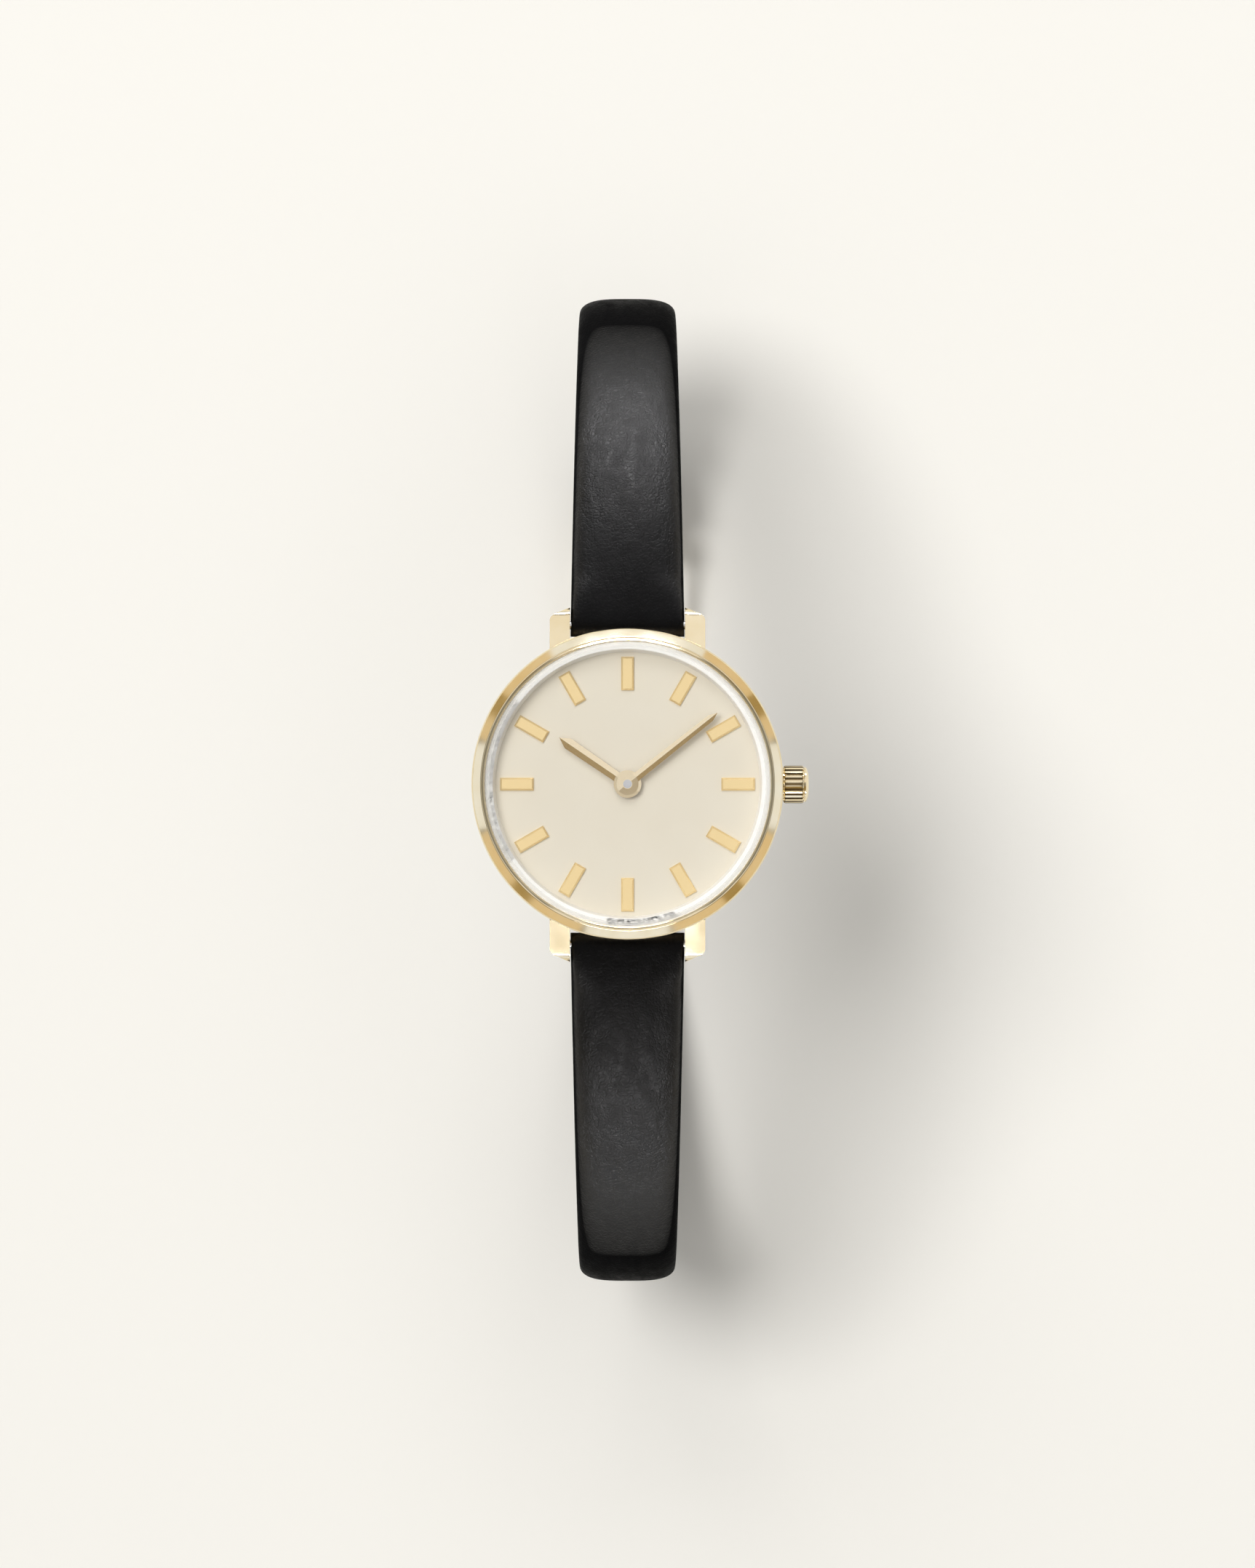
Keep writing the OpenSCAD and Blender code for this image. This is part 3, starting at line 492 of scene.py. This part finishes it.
def make_crown():
    """Ribbed crown with a domed, bevelled cap, lying along X; its grooves are darkened with painted shade."""
    ribs, per_rib, depth, barrel_len = 22, 12, 0.16, 1.8
    low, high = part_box("crown")
    r = (high.z - low.z) / 2 / MM
    x0, x1 = low.x / MM, high.x / MM
    cap = x0 + barrel_len
    # (x, radius, share of the grooves' depth) from the tube end to the cap's face
    bottom = [(x0, r - 1.2, 0), (x0, r - 0.16, 0)]
    barrel = [(x0 + 0.04, r - 0.1, 0.4), (x0 + 0.12, r - 0.02, 1), (x0 + 0.2, r, 1),
              (cap - 0.2, r, 1), (cap - 0.1, r - 0.02, 1), (cap - 0.02, r - 0.1, 0.4)]
    neck = [(cap, r - 0.15, 0), (cap + 0.04, r - 0.16, 0)]
    dome = [(cap + 0.07, r - 0.11, 0), (cap + 0.16, r - 0.12, 0), (cap + 0.26, r - 0.24, 0),
            (x1 - 0.08, r - 0.46, 0), (x1 - 0.02, r - 0.66, 0), (x1, r - 0.95, 0), (x1, 0.02, 0)]
    rings = []
    for x, radius, share in bottom + barrel + neck + dome:
        ring = []
        for i in range(ribs * per_rib):
            a = 2 * pi * i / (ribs * per_rib)
            groove = min(1.0, max(0.0, 3 * cos(ribs * a) - 0.4)) * depth * share
            ring.append((x, (radius - groove) * sin(a), HEAD_Z + (radius - groove) * cos(a)))
        rings.append(ring)
    verts, faces = loft(rings)
    piece = mesh_piece("crown_ribbed", verts, faces, GOLD, GOLD_PAINTED_SHADE, sharp_deg=40)
    # Faces deep in the grooves take the dark gold: painted shade in the grooves.
    for face in piece.data.polygons:
        middle = face.center / MM - Vector((0, 0, HEAD_Z))
        if x0 + 0.1 < middle.x < cap - 0.1 and middle.yz.length < r - depth / 2:
            face.material_index = 1
    return stand_for(piece, "crown")


# ---------------------------------------------------------------- strap

# The strap's middle line leaves the lug bar at LEAVING, and turns further down with each arc.
LEAVING, STEEP, RETURNING, FLAT = [radians(a) for a in (-12, -55, -160, -180)]
SIDE_R, STRAIGHT, FOOT_R, TAIL_RUN = 14.0, 18.0, 20.0, 100
LOOP_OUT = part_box("strap_12_leather")[1].y / MM
TOP_REACH = LOOP_OUT - STRAP_T / 2 - LUG_BAR.y - SIDE_R * (1 + sin(STEEP))
TOP_R = TOP_REACH / (sin(LEAVING) - sin(STEEP))
PATH = [(TOP_R * (LEAVING - STEEP), TOP_R), (SIDE_R * (STEEP - RETURNING), SIDE_R),
        (STRAIGHT, 0), (FOOT_R * (RETURNING - FLAT), FOOT_R), (TAIL_RUN, 0)]


def advance(y, z, heading, length, radius):
    """Where a stretch of the path ends: an arc that turns down, or a straight run when radius is 0."""
    if radius == 0:
        return y + length * cos(heading), z + length * sin(heading), heading
    turned = heading - length / radius
    return y + radius * (sin(heading) - sin(turned)), z + radius * (cos(turned) - cos(heading)), turned


def along(s):
    """(y, z, heading) of the strap's middle at distance s from the lug bar, for the 12 o'clock side."""
    place = (LUG_BAR.y, LUG_BAR.z, LEAVING)
    for length, radius in PATH:
        if s <= length:
            return advance(*place, s, radius)
        place = advance(*place, length, radius)
        s -= length
    return place


def on_strap(s, x, out, side):
    """A point at distance s, x across and out from the middle line; side is 1 at 12 o'clock, -1 at 6."""
    y, z, heading = along(s)
    return (x, side * (y - out * sin(heading)), z + out * cos(heading))


def strap_width(s):
    return max(BUCKLE_W, ROOT_W - TAPER * max(s, 0))


def tip_share(s):
    """How much of its width the tail keeps at distance s: all of it, until the round tip."""
    past = (s - TAIL_HALF + TIP_LEN) / TIP_LEN
    return sqrt(max(0.0036, 1 - past * past)) if past > 0 else 1.0


def domed(half, low, high, fullness=DOME, count=16):
    """Section with a crowned top over nearly upright edges, as (x, out); more fullness is squarer."""
    edge = low + 0.12
    crown = 2.3 + 0.3 * (fullness - DOME)
    right = [(half * 0.985, low)]
    for k in range(count + 1):
        a = pi / 2 * k / count
        right.append((half * cos(a) ** (2 / fullness), edge + (high - edge) * sin(a) ** (2 / crown)))
    left = [(-x, out) for x, out in reversed(right[:-1])]
    return right + left


def strap_piece(name, side, start, end, section, mat):
    """Sweeps section(s) along one half of the strap; the half at 6 o'clock ends in a round tip."""
    tail = side < 0
    step, tip_steps = 0.7, 14
    count = ceil((end - start) / step)
    stops = [start + (end - start) * i / count for i in range(count)]
    if tail:
        tip_start = end - TIP_LEN
        tip = [tip_start + TIP_LEN * sin(pi / 2 * k / tip_steps) for k in range(tip_steps + 1)]
        stops = [s for s in stops if s < tip_start] + tip
    else:
        stops.append(end)
    rings = []
    for s in stops:
        share = tip_share(s) if tail else 1.0
        rings.append([on_strap(s, x * share, out, side) for x, out in section(s)])
    verts, faces = loft(rings)
    return mesh_piece(name, verts, faces, mat, sharp_deg=50)


def rod(name, radius, start, end, steps=40):
    """Round cutter between two points, in millimetres."""
    axis = (Vector(end) - Vector(start)).normalized()
    turn = axis.to_track_quat("Z", "Y").to_matrix()
    angles = [2 * pi * i / steps for i in range(steps)]
    spokes = [turn @ Vector((radius * cos(a), radius * sin(a), 0)) for a in angles]
    verts, faces = loft([[Vector(centre) + spoke for spoke in spokes] for centre in (start, end)])
    return mesh_piece(name, verts, faces)


def cross_rod(name, radius, y, z):
    """Round cutter right across the strap."""
    reach = ROOT_W - 0.9
    return rod(name, radius, (-reach, y, z), (reach, y, z))


def block(name, low, high, matrix):
    """Box cutter between two opposite corners, moved by the matrix."""
    corners = [(low[0], low[1]), (high[0], low[1]), (high[0], high[1]), (low[0], high[1])]
    rings = [[matrix @ Vector((x, y, z)) for x, y in corners] for z in (low[2], high[2])]
    verts, faces = loft(rings)
    return mesh_piece(name, verts, faces)


def turned_end(past, width):
    """Section where the leather turns round a bar, at a distance past the bar's middle."""
    reach = sqrt(max(0.0004, (STRAP_T / 2) ** 2 - past * past))
    return domed(width / 2, -reach, reach, ROOT_FULLNESS)


def body_section(s, from_bar, turn_len):
    """Section above the lining; it fills the whole thickness within turn_len of a bar."""
    above = min(1.0, max(0.0, (from_bar - turn_len) / 0.25))
    near_bar = max(0.0, 1 - from_bar / BAR_REACH)
    fullness = DOME + (ROOT_FULLNESS - DOME) * near_bar ** 2
    return domed(strap_width(s) / 2, LINING_T * above - STRAP_T / 2, STRAP_T / 2, fullness)


def leather_section(s):
    """Turned round the lug bar, then above the lining."""
    return turned_end(s, ROOT_W) if s < 0 else body_section(s, s, LINING_START - 0.25)


def buckle_section(s):
    """As leather_section, but turned round the buckle bar as well."""
    left = BUCKLE_HALF - s
    if left < 0:
        return turned_end(left, BUCKLE_W)
    return leather_section(s) if s < BUCKLE_HALF / 2 else body_section(s, left, LINING_STOP - 0.2)


def lining_section(s):
    half, chamfer = strap_width(s) / 2 - 0.03, 0.1
    low, high = -STRAP_T / 2, -STRAP_T / 2 + LINING_T
    right = [(half - chamfer, low), (half, low + chamfer), (half, high)]
    return right + [(-x, out) for x, out in reversed(right)]


def make_strap_12():
    """Buckle half: bored for both bars, with a slot for the tongue."""
    end = BUCKLE_HALF + TURN_REACH
    upper = strap_piece("strap_12_leather_upper", 1, -TURN_REACH, end, buckle_section, LEATHER)
    bar_y, bar_z, _ = along(0)
    cut(upper, cross_rod("bore", LUG_BORE_R, bar_y, bar_z))
    y, z, heading = along(BUCKLE_HALF)
    cut(upper, cross_rod("bore", BUCKLE_BORE_R, y, z))
    place = Matrix.Translation((0, y, z)) @ Matrix.Rotation(heading, 4, "X")
    slot_half_w, slot_len = 0.95, 2.2
    cut(upper, block("slot", (-slot_half_w, -slot_len, -3), (slot_half_w, 4, 3), place))
    stand_for(upper, "strap_12_leather")
    lining_end = BUCKLE_HALF - LINING_STOP
    under = strap_piece("strap_12_lining_skin", 1, LINING_START, lining_end, lining_section, LINING)
    stand_for(under, "strap_12_lining")


def make_strap_6():
    """Tail half: bored for the lug bar, with a row of holes."""
    upper = strap_piece("strap_6_leather_upper", -1, -TURN_REACH, TAIL_HALF, leather_section, LEATHER)
    under = strap_piece("strap_6_lining_skin", -1, LINING_START, TAIL_HALF, lining_section, LINING)
    bar_y, bar_z, _ = along(0)
    cut(upper, cross_rod("bore", LUG_BORE_R, -bar_y, bar_z))
    first_hole, pitch, count, hole_r, depth = 25.0, 5.5, 7, 0.7, 2.5
    for i in range(count):
        s = TAIL_HALF - first_hole - i * pitch
        for piece in (upper, under):
            cut(piece, rod("hole", hole_r, on_strap(s, 0, -depth, -1), on_strap(s, 0, depth, -1)))
    stand_for(upper, "strap_6_leather")
    stand_for(under, "strap_6_lining")


def make_keeper(node, s, floor):
    """A narrow leather loop, crowned outside and flat inside, whose inside starts at height floor."""
    wall, inside_top, side_gap, corner_r = 0.6, 2.8, 0.25, 1.3
    half_w = BUCKLE_W / 2 + side_gap + wall
    low, high = floor - wall, inside_top + wall
    path = rounded([(half_w, low), (half_w, high), (-half_w, high), (-half_w, low)], corner_r, 8)
    y, z, heading = along(s)
    rings = []
    count = len(path)
    for i, point in enumerate(path):
        ahead = (path[(i + 1) % count] - path[i - 1]).normalized()
        inward = Vector((-ahead.y, ahead.x))
        ring = []
        for u, depth in keeper_section(wall):
            x, out = point + inward * depth
            spot_y = y + u * cos(heading) - out * sin(heading)
            spot_z = z + u * sin(heading) + out * cos(heading)
            ring.append((x, spot_y, spot_z))
        rings.append(ring)
    verts, faces = loft(rings, closed_along=True)
    return stand_for(mesh_piece(node + "_loop", verts, faces, LEATHER, sharp_deg=50), node)


def keeper_section(wall):
    """The loop's section, as (along the strap, depth inwards from the outer face)."""
    half, steps, chamfer = KEEPER_LEN / 2, 12, 0.05
    angles = [pi * k / steps for k in range(steps + 1)]
    crown = [(half * cos(a), wall * 0.55 * (1 - sin(a) ** 0.6)) for a in angles]
    far_side = [(-half, wall - chamfer), (-half + chamfer, wall)]
    near_side = [(half - chamfer, wall), (half, wall - chamfer)]
    return crown + far_side + near_side


# ---------------------------------------------------------------- studio

FLOOR = (0.89, 0.867, 0.814)
WATCH_Z = 0.045                         # height the studio cards face, in metres


def make_floor():
    """Wide sheet of pale paper with a faint fibre."""
    mat = material("pale_paper", FLOOR, 0.9, specular=0.0)
    fibre = noise(mat, coords(mat), 1.2, detail=3)
    shade = tuple(c * 0.997 for c in FLOOR)
    feed(mat, "Base Color", tint(mat, spread(mat, fibre, 0, 1), shade, FLOOR))
    half = 4000
    corners = [(-half, -half, 0), (half, -half, 0), (half, half, 0), (-half, half, 0)]
    mesh_piece("floor", corners, [(0, 1, 2, 3)], mat)


def make_world():
    """Pale all round the horizon and darker overhead, so that black leather keeps its depth."""
    world = bpy.data.worlds.new("studio")
    bpy.context.scene.world = world
    world.use_nodes = True
    tree = world.node_tree
    place = tree.nodes.new("ShaderNodeTexCoord")
    split = tree.nodes.new("ShaderNodeSeparateXYZ")
    ramp = tree.nodes.new("ShaderNodeValToRGB")
    tree.links.new(place.outputs["Generated"], split.inputs[0])
    tree.links.new(split.outputs["Z"], ramp.inputs[0])
    tree.links.new(ramp.outputs[0], tree.nodes["Background"].inputs["Color"])
    horizon, darkest, zenith = (0.42, 0.415, 0.40), (0.26, 0.257, 0.25), (0.30, 0.30, 0.295)
    stops = [(0.0, horizon), (0.45, darkest), (1.0, zenith)]
    ramp.color_ramp.elements.new(stops[1][0])
    for element, (position, colour) in zip(ramp.color_ramp.elements, stops):
        element.position = position
        element.color = (*colour, 1)


def place_lamp(data, place, towards):
    """Puts a lamp in the scene; only diffuse surfaces see it, as cards make the reflections."""
    lamp = bpy.data.objects.new(data.name, data)
    bpy.context.scene.collection.objects.link(lamp)
    lamp.location = place
    lamp.rotation_euler = (Vector(towards) - lamp.location).to_track_quat("-Z", "Y").to_euler()
    lamp.visible_glossy = False


def area_light(name, place, size, watts):
    data = bpy.data.lights.new(name, "AREA")
    data.shape = "RECTANGLE"
    data.size, data.size_y = size
    data.energy = watts
    place_lamp(data, place, (0, 0, 0.03))


def make_lights():
    """A broad key from the left throws the soft shadow; two large lamps above fill it."""
    sun = bpy.data.lights.new("key", "SUN")
    sun.energy = 1.55
    sun.angle = radians(26)
    place_lamp(sun, (-0.205, 0.10, 0.48), (0, 0, 0))
    area_light("overhead", (0, 0.1, 1.0), (1.4, 1.4), 2.7)
    area_light("upper", (-0.1, 0.55, 0.6), (0.5, 0.3), 1.7)


def make_card(name, clock_deg, distance, elevation, size, colour, strength):
    """Flat card seen only in reflections, at a clock direction and elevation from the watch; metres."""
    a, e = radians(clock_deg), radians(elevation)
    away = Vector((cos(e) * sin(a), cos(e) * cos(a), sin(e)))
    centre = Vector((0, 0, WATCH_Z)) + distance * away
    turn = (-away).to_track_quat("Z", "Y")
    half_w, half_h = size[0] / 2, size[1] / 2
    corners = [(-half_w, -half_h), (half_w, -half_h), (half_w, half_h), (-half_w, half_h)]
    verts = [(centre + turn @ Vector((x, y, 0))) / MM for x, y in corners]
    mat = material(name, (0.02, 0.02, 0.02), 0.9, specular=0)
    shader = mat.node_tree.nodes["Principled BSDF"]
    shader.inputs["Emission Color"].default_value = (*colour, 1)
    shader.inputs["Emission Strength"].default_value = strength
    card = mesh_piece(name, verts, [(0, 1, 2, 3)], mat)
    card.visible_camera = False
    card.visible_diffuse = False
    card.visible_shadow = False


def make_cards():
    """Strips that the leather mirrors, high cards for the gold flats, and a ring for the bezel's band."""
    white, cool = (1.0, 0.98, 0.98), (1.0, 1.06, 1.22)
    warm, tan = (0.95, 0.77, 0.51), (0.46, 0.33, 0.13)
    # name, clock direction, elevation, size, colour, strength
    high_cards = [("strip_12", 0, 21, (0.30, 0.05), white, 38.0),
                  ("strip_6", 180, 33, (0.30, 0.05), white, 30.0),
                  ("lugs_12", 0, 41, (0.50, 0.10), white, 0.97),
                  ("lugs_6", 180, 41, (0.50, 0.10), white, 0.94),
                  ("facets_12", 0, 62, (0.80, 0.29), white, 0.98),
                  ("facets_6", 180, 62, (0.80, 0.29), tan, 0.7),
                  ("over_dial", 0, 90, (0.24, 0.24), white, 1.0)]
    for name, clock_deg, elevation, size, colour, strength in high_cards:
        make_card(name, clock_deg, 0.55, elevation, size, colour, strength)
    band_elevation = 10
    for i in range(4):
        width = 0.54 if i == 0 else 0.26
        make_card(f"ring_white_{i}", 90 * i, 0.45, band_elevation, (width, 0.13), cool, 0.95)
        make_card(f"ring_warm_{i}", 90 * i + 45, 0.50, band_elevation, (0.50, 0.15), warm, 0.85)
    for hour, clock_deg in ((2, 58), (4, 135), (8, 225), (10, 302)):
        make_card(f"flag_{hour}", clock_deg, 0.35, band_elevation, (0.055, 0.12), tan, 0.9)


def make_camera():
    """Looks straight down the dial, from a touch on the 6 o'clock side."""
    distance, view_height, sensor = 0.9, 0.1357, 36
    tilt = radians(89)
    data = bpy.data.cameras.new("camera")
    data.sensor_fit = "VERTICAL"
    data.sensor_height = sensor
    data.lens = sensor * distance / view_height
    data.clip_start = 0.01
    camera = bpy.data.objects.new("camera", data)
    bpy.context.scene.collection.objects.link(camera)
    target = Vector((0, 0, bezel_top.z - 0.001))
    camera.location = target + distance * Vector((0, -cos(tilt), sin(tilt)))
    camera.rotation_euler = (target - camera.location).to_track_quat("-Z", "Y").to_euler()
    bpy.context.scene.camera = camera


# ---------------------------------------------------------------- build

for node, obj in nodes.items():
    obj.data.materials.clear()
    obj.data.materials.append(NODE_MATERIALS.get(node) or SLOT_MATERIALS[slot_of[node]])

make_camera()
make_bezel()
make_crystal()
make_crown()
softened("case_body", GOLD, 0.12, steps=3)
softened("buckle_frame", GOLD, 0.08)
softened("buckle_tongue", GOLD, 0.12)
make_strap_12()
make_strap_6()
make_keeper("fixed_keeper", BUCKLE_HALF - 4.5, -STRAP_T / 2)
make_keeper("free_keeper", BUCKLE_HALF - 10.0, -STRAP_T / 2 - 0.12)

make_floor()
make_world()
make_lights()
make_cards()
bpy.context.scene.view_settings.view_transform = "Standard"
